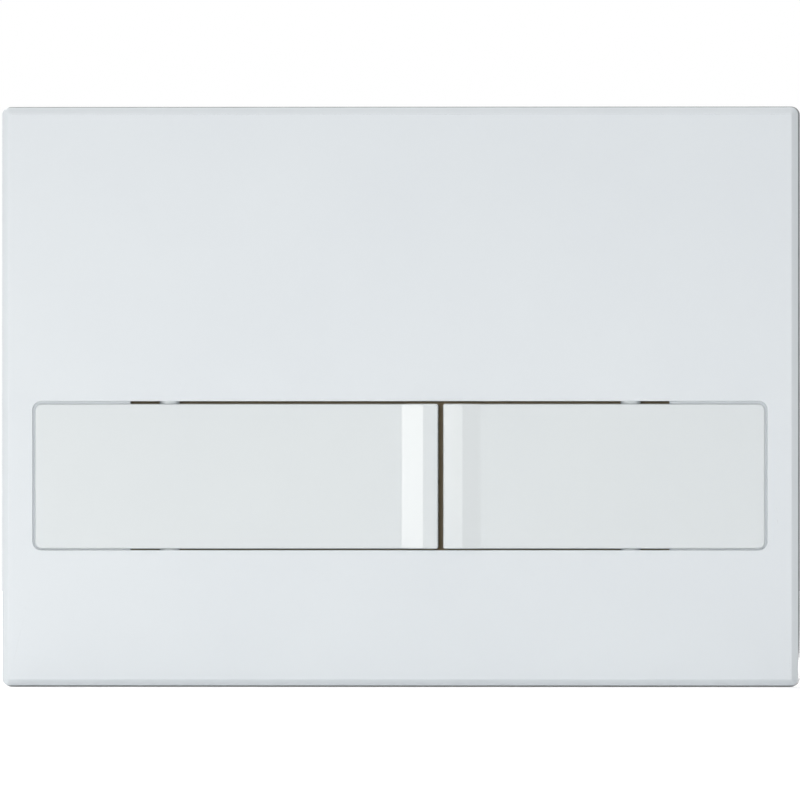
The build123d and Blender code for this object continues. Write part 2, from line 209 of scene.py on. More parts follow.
def polished_abs(name, colour, shade):
    """ABS, injection moulded in a polished tool.

    A pale, even colour under a clear gloss. The melt's flow leaves a hardly visible cloudiness some 40 mm
    wide, and the skin has the faint ripple of a moulding, a few millimetres from crest to crest.
    """
    finish, tree, surface, place = new_finish(name, IOR=1.53)
    flow = add(tree, "ShaderNodeTexNoise", {"Vector": place, "Scale": 1 / (40 * mm), "Detail": 2.0})
    clouds = add(tree, "ShaderNodeMix", {0: flow, 6: linear(shade), 7: linear(colour)}, data_type="RGBA")
    tree.links.new(clouds.outputs[2], surface.inputs["Base Color"])
    haze = add(tree, "ShaderNodeTexNoise", {"Vector": place, "Scale": 1 / (9 * mm), "Detail": 3.0})
    gloss = add(tree, "ShaderNodeMapRange", [haze, noise_low, noise_high, 0.13, 0.18])
    tree.links.new(gloss.outputs[0], surface.inputs["Roughness"])
    ripple = add(tree, "ShaderNodeTexNoise", {"Vector": place, "Scale": 1 / (3.5 * mm), "Detail": 1.0})
    skin = add(tree, "ShaderNodeBump", {"Height": ripple, "Strength": 0.25, "Distance": 0.01 * mm})
    tree.links.new(skin.outputs[0], surface.inputs["Normal"])
    return finish


def eroded_polypropylene(name, colour, shade):
    """Polypropylene, moulded in a spark-eroded tool.

    Dull, with a fine even grain and a little flow marking.
    """
    finish, tree, surface, place = new_finish(name, IOR=1.49)
    flow = add(tree, "ShaderNodeTexNoise", {"Vector": place, "Scale": 1 / (25 * mm), "Detail": 3.0})
    marks = add(tree, "ShaderNodeMix", {0: flow, 6: linear(shade), 7: linear(colour)}, data_type="RGBA")
    tree.links.new(marks.outputs[2], surface.inputs["Base Color"])
    haze = add(tree, "ShaderNodeTexNoise", {"Vector": place, "Scale": 1 / (4 * mm), "Detail": 2.0})
    dull = add(tree, "ShaderNodeMapRange", [haze, noise_low, noise_high, 0.42, 0.55])
    tree.links.new(dull.outputs[0], surface.inputs["Roughness"])
    # The real grain is about 0.1 mm, drawn coarser here so that it shows
    grain = add(tree, "ShaderNodeTexNoise", {"Vector": place, "Scale": 1 / (0.5 * mm), "Detail": 2.0})
    skin = add(tree, "ShaderNodeBump", {"Height": grain, "Strength": 0.35, "Distance": 0.02 * mm})
    tree.links.new(skin.outputs[0], surface.inputs["Normal"])
    return finish


def natural_acetal(name, colour, shade, root_shade):
    """Acetal, moulded and left in its natural colour.

    Waxy, a little milky, with soft broad highlights. The roots of a thread are a tone deeper, which is
    painted shade.
    """
    finish, tree, surface, place = new_finish(name, IOR=1.48)
    surface.inputs["Subsurface Weight"].default_value = 0.12
    surface.inputs["Subsurface Radius"].default_value = (1.0, 0.9, 0.75)
    surface.inputs["Subsurface Scale"].default_value = 0.6 * mm
    milk = add(tree, "ShaderNodeTexNoise", {"Vector": place, "Scale": 1 / (5 * mm), "Detail": 2.0})
    tone = add(tree, "ShaderNodeMix", {0: milk, 6: linear(shade), 7: linear(colour)}, data_type="RGBA")
    # Painted shade: the roots of a thread take a darker colour
    roots = add(tree, "ShaderNodeAttribute", attribute_name=root_shade_mark).outputs["Fac"]
    painted_root_colour = linear(root_shade)
    painted_root_shade = add(tree, "ShaderNodeMix", {0: roots, 6: tone.outputs[2], 7: painted_root_colour}, data_type="RGBA")
    tree.links.new(painted_root_shade.outputs[2], surface.inputs["Base Color"])
    wax = add(tree, "ShaderNodeMapRange", [milk, noise_low, noise_high, 0.3, 0.4])
    tree.links.new(wax.outputs[0], surface.inputs["Roughness"])
    return finish


def zinc_plated_steel(name, colour, shade, root_shade):
    """Steel with a bright zinc plating.

    Silvery, with the cool and straw-coloured clouds of its passivation. The roots of a thread are darkened
    with painted shade.
    """
    finish, tree, surface, place = new_finish(name, Metallic=1.0)
    clouds = add(tree, "ShaderNodeTexNoise", {"Vector": place, "Scale": 1 / (6 * mm), "Detail": 4.0})
    tone = add(tree, "ShaderNodeMix", {0: clouds, 6: linear(shade), 7: linear(colour)}, data_type="RGBA")
    # Painted shade: the roots of a thread take a darker colour
    roots = add(tree, "ShaderNodeAttribute", attribute_name=root_shade_mark).outputs["Fac"]
    dark = linear(root_shade)
    painted_root_darkening = add(tree, "ShaderNodeMix", {0: roots, 6: tone.outputs[2], 7: dark}, data_type="RGBA")
    tree.links.new(painted_root_darkening.outputs[2], surface.inputs["Base Color"])
    crystals = add(tree, "ShaderNodeTexNoise", {"Vector": place, "Scale": 1 / (0.6 * mm), "Detail": 3.0})
    satin = add(tree, "ShaderNodeMapRange", [crystals, noise_low, noise_high, 0.26, 0.4])
    tree.links.new(satin.outputs[0], surface.inputs["Roughness"])
    return finish


def drawn_spring_steel(name, colour, shade):
    """Patented spring wire, drawn through a die: grey and bright, with fine streaks of drawing soap."""
    finish, tree, surface, place = new_finish(name, Metallic=1.0)
    streaks = add(tree, "ShaderNodeTexNoise", {"Vector": place, "Scale": 1 / (0.8 * mm), "Detail": 3.0})
    tone = add(tree, "ShaderNodeMix", {0: streaks, 6: linear(shade), 7: linear(colour)}, data_type="RGBA")
    tree.links.new(tone.outputs[2], surface.inputs["Base Color"])
    satin = add(tree, "ShaderNodeMapRange", [streaks, noise_low, noise_high, 0.22, 0.36])
    tree.links.new(satin.outputs[0], surface.inputs["Roughness"])
    return finish


def pressed_rubber(name, colour, shade):
    """EPDM rubber, pressed in a sand-blasted tool: nearly black, dull, with a fine grain."""
    finish, tree, surface, place = new_finish(name, IOR=1.52)
    bloom = add(tree, "ShaderNodeTexNoise", {"Vector": place, "Scale": 1 / (4 * mm), "Detail": 3.0})
    tone = add(tree, "ShaderNodeMix", {0: bloom, 6: linear(shade), 7: linear(colour)}, data_type="RGBA")
    tree.links.new(tone.outputs[2], surface.inputs["Base Color"])
    dull = add(tree, "ShaderNodeMapRange", [bloom, noise_low, noise_high, 0.7, 0.82])
    tree.links.new(dull.outputs[0], surface.inputs["Roughness"])
    grain = add(tree, "ShaderNodeTexNoise", {"Vector": place, "Scale": 1 / (0.4 * mm), "Detail": 2.0})
    skin = add(tree, "ShaderNodeBump", {"Height": grain, "Strength": 0.4, "Distance": 0.03 * mm})
    tree.links.new(skin.outputs[0], surface.inputs["Normal"])
    return finish


cover_finish = polished_abs("cover_white_abs", "#e3e8eb", "#dfe4e8")
button_finish = polished_abs("button_white_abs", "#e0e5e6", "#dce1e3")
frame_finish = eroded_polypropylene("frame_beige_polypropylene", "#c3b191", "#b9a786")
plunger_finish = natural_acetal("plunger_natural_acetal", "#e9e6da", "#dedacb", "#c4bca5")
zinc_finish = zinc_plated_steel("zinc_plated_steel", "#c9ced4", "#c4bfae", "#55534e")
spring_finish = drawn_spring_steel("drawn_spring_steel", "#a5a6a8", "#838487")
rubber_finish = pressed_rubber("pressed_black_rubber", "#2c2d2f", "#232425")


def show(piece, node):
    """Sets a finished piece on the body of the CAD node that it stands for, and hides that node."""
    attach(piece, body_of_node[node])
    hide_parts(node)


def rounded_copy(node, name, edge_radius, finish, sharp_angle=sharp_from):
    """A CAD node's own form with its sharp edges rounded, as they leave the mould or the tool."""
    shape = bmesh.new()
    shape.from_mesh(frame["nodes"][node].data)
    bmesh.ops.remove_doubles(shape, verts=shape.verts, dist=merge_distance)
    bmesh.ops.dissolve_limit(shape, angle_limit=flat_within, verts=shape.verts, edges=shape.edges)
    sharp = [edge for edge in shape.edges if edge.calc_face_angle(0) > sharp_angle]
    bmesh.ops.bevel(
        shape,
        geom=sharp,
        offset=edge_radius,
        offset_type="OFFSET",
        segments=edge_segments,
        profile=round_profile,
        affect="EDGES",
    )
    for face in shape.faces:
        face.smooth = True
    mesh = bpy.data.meshes.new(name)
    shape.to_mesh(mesh)
    shape.free()
    mesh.materials.append(finish)
    piece = bpy.data.objects.new(name, mesh)
    bpy.context.scene.collection.objects.link(piece)
    piece.modifiers.new("flat_faces_stay_flat", "WEIGHTED_NORMAL")
    show(piece, node)
    return piece


cover = rounded_copy("cover_plate", "cover", cover_edge, cover_finish, cover_sharp_from)
wall_frame = rounded_copy("mounting_frame", "wall_frame", frame_edge, frame_finish)
rounded_copy("clamp_washers", "stud_washers", washer_edge, zinc_finish)
for flush in flushes:
    rounded_copy(f"{flush}_button", f"{flush}_rocker", button_edge, button_finish)
    rounded_copy(f"{flush}_tappet", f"{flush}_stem", stem_edge, plunger_finish)
    rounded_copy(f"{flush}_bumper", f"{flush}_soft_stop", soft_stop_edge, rubber_finish)


def new_tree(name, **sizes):
    """A geometry tree with named inputs, each of a given socket kind. Returns it with their sockets."""
    tree = bpy.data.node_groups.new(name, "GeometryNodeTree")
    for label, kind in sizes.items():
        tree.interface.new_socket(name=label, in_out="INPUT", socket_type=f"NodeSocket{kind}")
    tree.interface.new_socket(name="Geometry", in_out="OUTPUT", socket_type="NodeSocketGeometry")
    return tree, add(tree, "NodeGroupInput").outputs


def close_tree(tree, size, shape, sharp_angle):
    """Smooths what is round, keeps what is sharp, and sets copies in a row, all in one finish."""
    smooth = add(tree, "GeometryNodeSetShadeSmooth", {"Geometry": shape})
    angle = add(tree, "GeometryNodeInputMeshEdgeAngle").outputs["Unsigned Angle"]
    crease = add(tree, "FunctionNodeCompare", [angle, sharp_angle], operation="GREATER_THAN")
    creased = add(
        tree,
        "GeometryNodeSetShadeSmooth",
        {"Geometry": smooth, "Selection": crease, "Shade Smooth": False},
        domain="EDGE",
    )
    row = add(
        tree,
        "GeometryNodeMeshLine",
        {"Count": size["copies"], "Start Location": size["start"], "Offset": size["step"]},
    )
    copies = add(tree, "GeometryNodeInstanceOnPoints", {"Points": row, "Instance": creased})
    real = add(tree, "GeometryNodeRealizeInstances", [copies])
    dressed = add(tree, "GeometryNodeSetMaterial", {"Geometry": real, "Material": size["finish"]})
    add(tree, "NodeGroupOutput", [dressed])
    return tree


def turn_and_row(tree, last_row):
    """At each point of a grid one metre wide and high: its share of a turn, and its row from the front."""
    place = add(tree, "ShaderNodeSeparateXYZ", [add(tree, "GeometryNodeInputPosition")]).outputs
    turn = add(tree, "ShaderNodeMath", [place["X"], 0.5], operation="ADD")
    share = add(tree, "ShaderNodeMath", [place["Y"], 0.5], operation="ADD")
    raw_row = add(tree, "ShaderNodeMath", [share, last_row], operation="MULTIPLY")
    row = add(tree, "ShaderNodeMath", [raw_row], operation="ROUND")
    return turn, row


def point_round_y(tree, radius, angle, along):
    """The point at this radius and angle round Y, this far along it."""
    cosine = add(tree, "ShaderNodeMath", [angle], operation="COSINE")
    sine = add(tree, "ShaderNodeMath", [angle], operation="SINE")
    x = add(tree, "ShaderNodeMath", [radius, cosine], operation="MULTIPLY")
    z = add(tree, "ShaderNodeMath", [radius, sine], operation="MULTIPLY")
    return add(tree, "ShaderNodeCombineXYZ", [x, along, z])


def closed_wall(tree, grid, point):
    """A grid laid on new points, joined where its edges meet, with its faces turned outward."""
    wrapped = add(tree, "GeometryNodeSetPosition", {"Geometry": grid, "Position": point})
    closed = add(tree, "GeometryNodeMergeByDistance", {"Geometry": wrapped, "Distance": merge_distance})
    return add(tree, "GeometryNodeFlipFaces", [closed])


row_inputs = {"start": "Vector", "step": "Vector", "copies": "Int", "finish": "Material"}


def threaded_bar_tree():
    """A bar along Y with a right-handed thread: rows of points that wind round it, four to each turn."""
    sides_round, rows_per_turn = 32, 4
    tree, size = new_tree(
        "threaded_bar",
        length="Float",
        outer_r="Float",
        thread_depth="Float",
        pitch="Float",
        front_thread="Float",
        rear_thread="Float",
        waist_r="Float",
        chamfer="Float",
        **row_inputs,
    )
    turns = add(tree, "ShaderNodeMath", [size["length"], size["pitch"]], operation="DIVIDE")
    whole_turns = add(tree, "ShaderNodeMath", [turns], operation="CEIL")
    last_row = add(
        tree, "ShaderNodeMath", [whole_turns, rows_per_turn, 2 * rows_per_turn], operation="MULTIPLY_ADD"
    )
    rows = add(tree, "ShaderNodeMath", [last_row, 1.0], operation="ADD")
    grid = add(
        tree,
        "GeometryNodeMeshGrid",
        {"Size X": 1.0, "Size Y": 1.0, "Vertices X": sides_round + 1, "Vertices Y": rows},
    )
    turn, row = turn_and_row(tree, last_row)
    thread_row = add(tree, "ShaderNodeMath", [row, 1.0], operation="SUBTRACT")
    in_turn = add(tree, "ShaderNodeMath", [thread_row, float(rows_per_turn)], operation="FLOORED_MODULO")
    past_rows = add(tree, "ShaderNodeMath", [thread_row, in_turn], operation="SUBTRACT")

    # Crest, flank, root, flank: where each begins, as a share of the pitch of a metric thread
    crest_from, crest_to, root_from, root_to = 0.0, 0.125, 0.4375, 0.6875
    offset = add(
        tree,
        "GeometryNodeIndexSwitch",
        [in_turn, crest_from, crest_to, root_from, root_to],
        extra_items=rows_per_turn - 2,
        data_type="FLOAT",
    )
    root = add(tree, "ShaderNodeMath", [size["outer_r"], size["thread_depth"]], operation="SUBTRACT")
    thread_r = add(
        tree,
        "GeometryNodeIndexSwitch",
        [in_turn, size["outer_r"], size["outer_r"], root, root],
        extra_items=rows_per_turn - 2,
        data_type="FLOAT",
    )
    unwound = add(tree, "ShaderNodeMath", [past_rows, 1 / rows_per_turn, offset], operation="MULTIPLY_ADD")
    wound = add(tree, "ShaderNodeMath", [unwound, turn], operation="SUBTRACT")
    raw_along = add(tree, "ShaderNodeMath", [wound, size["pitch"]], operation="MULTIPLY")
    not_before = add(tree, "ShaderNodeMath", [raw_along, 0.0], operation="MAXIMUM")
    along = add(tree, "ShaderNodeMath", [not_before, size["length"]], operation="MINIMUM")

    # Plain waist between the two threads, each of which runs out over one pitch
    front_full = add(tree, "ShaderNodeMath", [size["front_thread"], size["pitch"]], operation="SUBTRACT")
    front = add(tree, "ShaderNodeMapRange", [along, front_full, size["front_thread"], 1.0, 0.0])
    rear_start = add(tree, "ShaderNodeMath", [size["length"], size["rear_thread"]], operation="SUBTRACT")
    rear_full = add(tree, "ShaderNodeMath", [rear_start, size["pitch"]], operation="ADD")
    rear = add(tree, "ShaderNodeMapRange", [along, rear_start, rear_full, 0.0, 1.0])
    threaded = add(tree, "ShaderNodeMath", [front, rear], operation="MAXIMUM")
    body_r = add(tree, "ShaderNodeMix", {0: threaded, 2: size["waist_r"], 3: thread_r})

    # Chamfered ends, closed by a row of points on the axis
    to_rear = add(tree, "ShaderNodeMath", [size["length"], along], operation="SUBTRACT")
    to_end = add(tree, "ShaderNodeMath", [along, to_rear], operation="MINIMUM")
    end_r = add(tree, "ShaderNodeMath", [size["outer_r"], size["chamfer"]], operation="SUBTRACT")
    limit = add(tree, "ShaderNodeMath", [end_r, to_end], operation="ADD")
    cut_r = add(tree, "ShaderNodeMath", [body_r, limit], operation="MINIMUM")
    rows_after = add(tree, "ShaderNodeMath", [last_row, row], operation="SUBTRACT")
    nearest_end = add(tree, "ShaderNodeMath", [row, rows_after], operation="MINIMUM")
    is_wall = add(tree, "ShaderNodeMath", [nearest_end, 0.5], operation="GREATER_THAN")
    radius = add(tree, "ShaderNodeMath", [cut_r, is_wall], operation="MULTIPLY")

    # Mark for the painted shade of the finish: nothing on a crest or an end face, one in a root
    sunk = add(tree, "ShaderNodeMath", [size["outer_r"], thread_r], operation="SUBTRACT")
    sunk_share = add(tree, "ShaderNodeMath", [sunk, size["thread_depth"]], operation="DIVIDE")
    in_root = add(tree, "ShaderNodeMath", [sunk_share, threaded], operation="MULTIPLY")
    in_wall_root = add(tree, "ShaderNodeMath", [in_root, is_wall], operation="MULTIPLY")
    marked = add(
        tree,
        "GeometryNodeStoreNamedAttribute",
        {"Geometry": grid, "Name": root_shade_mark, "Value": in_wall_root},
        data_type="FLOAT",
        domain="POINT",
    )

    angle = add(tree, "ShaderNodeMath", [turn, 2 * pi], operation="MULTIPLY")
    point = point_round_y(tree, radius, angle, along)
    return close_tree(tree, size, closed_wall(tree, marked, point), thread_sharp_from)


def hexagon_nut_tree():
    """A hexagon nut along Y: its corners cut by a cone on both faces, its bore countersunk."""
    sides_round, last_row = 72, 8
    tree, size = new_tree(
        "hexagon_nut",
        height="Float",
        across_flats="Float",
        face_r="Float",
        bore_r="Float",
        countersink="Float",
        **row_inputs,
    )
    grid = add(
        tree,
        "GeometryNodeMeshGrid",
        {"Size X": 1.0, "Size Y": 1.0, "Vertices X": sides_round + 1, "Vertices Y": last_row + 1},
    )
    turn, row = turn_and_row(tree, float(last_row))
    angle = add(tree, "ShaderNodeMath", [turn, 2 * pi], operation="MULTIPLY")
    in_flat = add(tree, "ShaderNodeMath", [angle, pi / 3], operation="FLOORED_MODULO")
    off_flat = add(tree, "ShaderNodeMath", [in_flat, pi / 6], operation="SUBTRACT")
    slant = add(tree, "ShaderNodeMath", [off_flat], operation="COSINE")
    half_flats = add(tree, "ShaderNodeMath", [size["across_flats"], 2.0], operation="DIVIDE")
    hexagon_r = add(tree, "ShaderNodeMath", [half_flats, slant], operation="DIVIDE")

    # The cone leaves the face at 30 degrees, so its depth is the overhang over the square root of three
    overhang = add(tree, "ShaderNodeMath", [hexagon_r, size["face_r"]], operation="SUBTRACT")
    cone = add(tree, "ShaderNodeMath", [overhang, sqrt(3)], operation="DIVIDE")
    rear_cone = add(tree, "ShaderNodeMath", [size["height"], cone], operation="SUBTRACT")
    mouth_r = add(tree, "ShaderNodeMath", [size["bore_r"], size["countersink"]], operation="ADD")
    rear_sink = add(tree, "ShaderNodeMath", [size["height"], size["countersink"]], operation="SUBTRACT")
    radii = [mouth_r, size["face_r"], hexagon_r, hexagon_r, size["face_r"], mouth_r]
    radii += [size["bore_r"], size["bore_r"], mouth_r]
    heights = [0.0, 0.0, cone, rear_cone, size["height"], size["height"], rear_sink, size["countersink"], 0.0]
    radius = add(
        tree, "GeometryNodeIndexSwitch", [row, *radii], extra_items=last_row - 1, data_type="FLOAT"
    )
    along = add(
        tree, "GeometryNodeIndexSwitch", [row, *heights], extra_items=last_row - 1, data_type="FLOAT"
    )
    point = point_round_y(tree, radius, angle, along)
    return close_tree(tree, size, closed_wall(tree, grid, point), nut_sharp_from)


def coil_spring_tree():
    """A compression spring along Y in round wire, with its end turns closed."""
    points_per_turn, wire_sides = 40, 14
    tree, size = new_tree(
        "coil_spring",
        length="Float",
        coil_r="Float",
        wire_r="Float",
        turns="Float",
        closed_turns="Float",
        **row_inputs,
    )
    count = add(tree, "ShaderNodeMath", [size["turns"], float(points_per_turn)], operation="MULTIPLY")
    line = add(tree, "GeometryNodeCurvePrimitiveLine", {"Start": (0, 0, 0), "End": (0, 1, 0)})
    dense = add(tree, "GeometryNodeResampleCurve", {"Curve": line, "Count": count})
    share = add(tree, "GeometryNodeSplineParameter").outputs["Factor"]
    wound = add(tree, "ShaderNodeMath", [share, size["turns"]], operation="MULTIPLY")
    angle = add(tree, "ShaderNodeMath", [wound, -2 * pi], operation="MULTIPLY")

    # Closed turns climb one wire a turn, and the free turns share the rest
    wire_d = add(tree, "ShaderNodeMath", [size["wire_r"], 2.0], operation="MULTIPLY")
    closed_h = add(tree, "ShaderNodeMath", [wire_d, size["closed_turns"]], operation="MULTIPLY")
    both_closed = add(tree, "ShaderNodeMath", [closed_h, 2.0], operation="MULTIPLY")
    wound_h = add(tree, "ShaderNodeMath", [size["length"], wire_d], operation="SUBTRACT")
    free_h = add(tree, "ShaderNodeMath", [wound_h, both_closed], operation="SUBTRACT")
    rear_closed = add(tree, "ShaderNodeMath", [size["turns"], size["closed_turns"]], operation="SUBTRACT")
    front = add(tree, "ShaderNodeMapRange", [wound, 0.0, size["closed_turns"], 0.0, closed_h])
    free = add(tree, "ShaderNodeMapRange", [wound, size["closed_turns"], rear_closed, 0.0, free_h])
    rear = add(tree, "ShaderNodeMapRange", [wound, rear_closed, size["turns"], 0.0, closed_h])
    climb = add(tree, "ShaderNodeMath", [front, free], operation="ADD")
    height = add(tree, "ShaderNodeMath", [climb, rear], operation="ADD")
    along = add(tree, "ShaderNodeMath", [height, size["wire_r"]], operation="ADD")
    point = point_round_y(tree, size["coil_r"], angle, along)
    coil = add(tree, "GeometryNodeSetPosition", {"Geometry": dense, "Position": point})
    section = add(
        tree, "GeometryNodeCurvePrimitiveCircle", {"Resolution": wire_sides, "Radius": size["wire_r"]}
    )
    wire = add(tree, "GeometryNodeCurveToMesh", {"Curve": coil, "Profile Curve": section, "Fill Caps": True})
    return close_tree(tree, size, wire, wire_sharp_from)


def grown(tree, name, **sizes):
    """A plain mesh object, made once from a tree and its sizes."""
    piece = bpy.data.objects.new(name, bpy.data.meshes.new(name))
    bpy.context.scene.collection.objects.link(piece)
    growth = piece.modifiers.new("growth", "NODES")
    growth.node_group = tree
    for item in tree.interface.items_tree:
        if item.in_out == "INPUT":
            growth[item.identifier] = sizes[item.name]
    result = piece.evaluated_get(bpy.context.evaluated_depsgraph_get())
    mesh = bpy.data.meshes.new_from_object(result)
    piece.modifiers.remove(growth)
    piece.data = mesh
    return piece


def row_of(node, width, finish):
    """Where a node's copies of this width stand: one on the node's axis, or one at each end of a pair."""
    low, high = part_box(node)
    span = high.x - low.x - width
    is_pair = span > width
    return {
        "start": (low.x + width / 2 if is_pair else (low.x + high.x) / 2, low.y, (low.z + high.z) / 2),
        "step": (span, 0.0, 0.0),
        "copies": 2 if is_pair else 1,
        "finish": finish,
    }


bar_tree = threaded_bar_tree()
nut_tree = hexagon_nut_tree()
spring_tree = coil_spring_tree()


def show_nuts(node, name, finish):
    """Hexagon nuts in place of a node."""
    low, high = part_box(node)
    flats = high.z - low.z
    nuts = grown(
        nut_tree,
        name,
        height=high.y - low.y,
        across_flats=flats,
        face_r=nut_face_share * flats / 2,
        bore_r=nut_bore_r,
        countersink=nut_countersink,
        **row_of(node, 2 * flats / sqrt(3), finish),
    )
    show(nuts, node)


for flush in flushes:
    node = f"{flush}_push_rod"
    low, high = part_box(node)
    length, diameter = high.y - low.y, high.z - low.z
    rod = grown(
        bar_tree,
        f"{flush}_threaded_rod",
        length=length,
        outer_r=diameter / 2,
        thread_depth=rod_thread_depth,
        pitch=rod_pitch,
        front_thread=length,
        rear_thread=length,
        waist_r=diameter / 2,
        chamfer=rod_chamfer,
        **row_of(node, diameter, plunger_finish),
    )
    show(rod, node)
    show_nuts(f"{flush}_lock_nut", f"{flush}_rod_nut", plunger_finish)

    node = f"{flush}_spring"
    low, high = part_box(node)
    length, diameter = high.y - low.y, high.z - low.z
    spring = grown(
        spring_tree,
        f"{flush}_return_coil",
        length=length,
        coil_r=diameter / 2 - spring_wire_r,
        wire_r=spring_wire_r,
        turns=spring_turns,
        closed_turns=spring_closed_turns,
        **row_of(node, diameter, spring_finish),
    )
    show(spring, node)
    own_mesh(spring)

low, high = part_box("fixing_studs")
stud_d = high.z - low.z
studs = grown(
    bar_tree,
    "wall_studs",
    length=high.y - low.y,
    outer_r=stud_d / 2,
    thread_depth=stud_thread_depth,
    pitch=stud_pitch,
    front_thread=stud_front_thread,
    rear_thread=stud_rear_thread,
    waist_r=stud_waist_r,
    chamfer=stud_chamfer,
    **row_of("fixing_studs", stud_d, zinc_finish),
)
show(studs, "fixing_studs")
show_nuts("clamp_nuts", "stud_nuts", zinc_finish)


def pin_mark_tree():
    """A grid of shallow round marks, each set by a ray from behind on what it meets, and a little tapered."""
    sides_round, far_behind, reach = 28, 0.1, 0.2
    tree, size = new_tree(
        "pin_marks",
        surface="Object",
        middle="Vector",
        columns="Int",
        rows="Int",
        pitch_x="Float",
        pitch_z="Float",
        finish="Material",
    )
    column_gaps = add(tree, "ShaderNodeMath", [size["columns"], 1.0], operation="SUBTRACT")
    row_gaps = add(tree, "ShaderNodeMath", [size["rows"], 1.0], operation="SUBTRACT")
    width = add(tree, "ShaderNodeMath", [column_gaps, size["pitch_x"]], operation="MULTIPLY")
    height = add(tree, "ShaderNodeMath", [row_gaps, size["pitch_z"]], operation="MULTIPLY")
    grid = add(tree, "GeometryNodeMeshGrid", [width, height, size["columns"], size["rows"]])
    place = add(tree, "ShaderNodeSeparateXYZ", [add(tree, "GeometryNodeInputPosition")]).outputs
    upright = add(tree, "ShaderNodeCombineXYZ", [place["X"], far_behind, place["Y"]])
    source = add(tree, "ShaderNodeVectorMath", [upright, size["middle"]], operation="ADD")
    target = add(tree, "GeometryNodeObjectInfo", [size["surface"]]).outputs["Geometry"]
    ray = add(
        tree,
        "GeometryNodeRaycast",
        {
            "Target Geometry": target,
            "Source Position": source,
            "Ray Direction": (0, -1, 0),
            "Ray Length": reach,
        },
    ).outputs
    seated = add(
        tree,
        "GeometryNodeSetPosition",
        {"Geometry": grid, "Selection": ray["Is Hit"], "Position": ray["Hit Position"]},
    )
    mark = add(
        tree,
        "GeometryNodeMeshCone",
        {
            "Vertices": sides_round,
            "Radius Top": mark_taper * pin_r,
            "Radius Bottom": pin_r,
            "Depth": pin_proud + mark_sink,
        },
    )
    turned = add(
        tree,
        "GeometryNodeTransform",
        {"Geometry": mark, "Translation": (0, -mark_sink, 0), "Rotation": (-pi / 2, 0, 0)},
    )
    copies = add(tree, "GeometryNodeInstanceOnPoints", {"Points": seated, "Instance": turned})
    real = add(tree, "GeometryNodeRealizeInstances", [copies])
    dressed = add(tree, "GeometryNodeSetMaterial", {"Geometry": real, "Material": size["finish"]})
    add(tree, "NodeGroupOutput", [dressed])
    return tree


mark_tree = pin_mark_tree()


def show_marks(name, surface, node, finish, columns, rows, pitch_x, pitch_z, middle_z=0.0):
    """A grid of marks on the rear of a piece, on the body of the node that it stands for."""
    marks = grown(
        mark_tree,
        name,
        surface=surface,
        middle=(0.0, 0.0, middle_z),
        columns=columns,
        rows=rows,
        pitch_x=pitch_x,
        pitch_z=pitch_z,
        finish=finish,
    )
    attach(marks, body_of_node[node])


on_cover = (cover, "cover_plate", cover_finish)
show_marks(
    "cover_side_marks", *on_cover, columns=2, rows=4, pitch_x=2 * cover_side_mark_x, pitch_z=cover_rib_pitch
)
show_marks(
    "cover_end_marks", *on_cover, columns=6, rows=2, pitch_x=cover_rib_pitch, pitch_z=2 * cover_end_mark_z
)
on_frame = (wall_frame, "mounting_frame", frame_finish)
show_marks(
    "frame_panel_marks",
    *on_frame,
    columns=6,
    rows=2,
    pitch_x=panel_rib_pitch,
    pitch_z=panel_mark_rise,
    middle_z=panel_middle_z,
)
show_marks(
    "frame_side_marks", *on_frame, columns=2, rows=3, pitch_x=2 * flange_mark_x, pitch_z=flange_mark_pitch
)
show_marks(
    "frame_end_marks", *on_frame, columns=4, rows=2, pitch_x=flange_mark_pitch, pitch_z=2 * flange_mark_z
)


# Stage: a white floor in a white room, softboxes, and a grey card that only gloss sees
def empty_finish(name):
    """A material with nothing in its tree yet."""
    finish = bpy.data.materials.new(name)
    finish.use_nodes = True
    finish.node_tree.nodes.clear()
    return finish, finish.node_tree


def stage_panel(name, corners, finish):
    """A flat piece of the stage with four corners."""
    mesh = bpy.data.meshes.new(name)
    mesh.from_pydata(corners, [], [(0, 1, 2, 3)])
    mesh.materials.append(finish)
    panel = bpy.data.objects.new(name, mesh)
    bpy.context.scene.collection.objects.link(panel)
    return panel


def rays_of_sight(tree):
    """Flags of the rays that show a thing: all of them, and those by way of a mirror or a clear thing."""
    rays = add(tree, "ShaderNodeLightPath").outputs
    past_gloss = [rays["Is Glossy Ray"], rays["Is Transmission Ray"]]
    mirrored = add(tree, "ShaderNodeMath", past_gloss, operation="MAXIMUM")
    seen = add(tree, "ShaderNodeMath", [rays["Is Camera Ray"], mirrored], operation="MAXIMUM")
    return seen, mirrored


def white_paper():
    """Matt white paper: it bounces light, takes the shadow near the plate and fades to white farther off."""
    finish, tree = empty_finish("white_paper")
    seen, mirrored = rays_of_sight(tree)
    place = add(tree, "ShaderNodeTexCoord").outputs["Object"]
    distance = add(tree, "ShaderNodeVectorMath", [place], operation="LENGTH").outputs["Value"]
    seen_share = add(tree, "ShaderNodeMapRange", [distance, glow_from, glow_to, least_glow, 1.0])

    # What mirrors the floor sees it nearly dark close to the plate, as in a contact shadow
    mirrored_share = add(
        tree, "ShaderNodeMapRange", [distance, mirrored_from, mirrored_to, least_mirrored, 1.0]
    )
    share = add(tree, "ShaderNodeMix", {0: mirrored, 2: seen_share, 3: mirrored_share})
    glow = add(tree, "ShaderNodeMath", [seen, share], operation="MULTIPLY")
    paper = add(tree, "ShaderNodeBsdfDiffuse", {"Color": linear("#f8f8f8")})
    lift = add(tree, "ShaderNodeEmission", {"Color": linear("#ffffff"), "Strength": glow})
    both = add(tree, "ShaderNodeAddShader", [paper, lift])
    add(tree, "ShaderNodeOutputMaterial", [both])
    return finish


floor_z = cad_box[0].z - floor_gap
floor_corners = [(x * floor_half, y * floor_half, floor_z) for x, y in ((-1, -1), (1, -1), (1, 1), (-1, 1))]
stage_panel("floor", floor_corners, white_paper())

